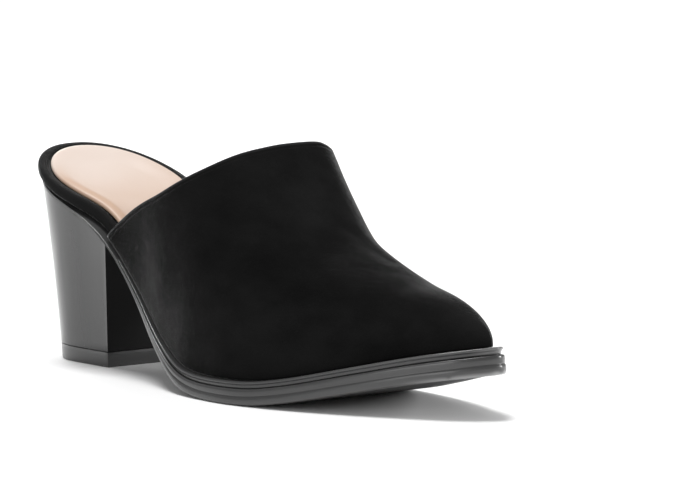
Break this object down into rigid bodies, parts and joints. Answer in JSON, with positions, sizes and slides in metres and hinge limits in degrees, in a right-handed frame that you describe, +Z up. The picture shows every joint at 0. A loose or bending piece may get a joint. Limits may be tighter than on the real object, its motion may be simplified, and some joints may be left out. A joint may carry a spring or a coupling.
{
  "type": "mule",
  "caption": "Backless mule with a pointed closed toe, a suede vamp cut to a high slanted throat, a padded insole with a covered rim, a thin welted sole and a tall block heel.",
  "frame": {"origin": "on the floor, at the middle of the shoe's length and width", "axes": "+X from the heel to the toe, +Y to the inner side of the foot, +Z up"},
  "size_m": [0.236, 0.077, 0.0871],
  "materials": {
    "upper": "black suede with a soft nap",
    "insole_sock": "smooth beige lining leather over padding",
    "footbed": "black suede over an insole board",
    "welt": "satin black bead",
    "outsole": "satin black edge, matt tread",
    "heel_block": "satin black lacquer",
    "top_lift": "dense matt rubber"
  },
  "bodies": {
    "root": {"upper": "upper", "insole_sock": "insole_sock", "footbed": "footbed", "welt": "welt", "outsole": "outsole", "heel_block": "heel_block", "top_lift": "top_lift"}
  },
  "joints": []
}
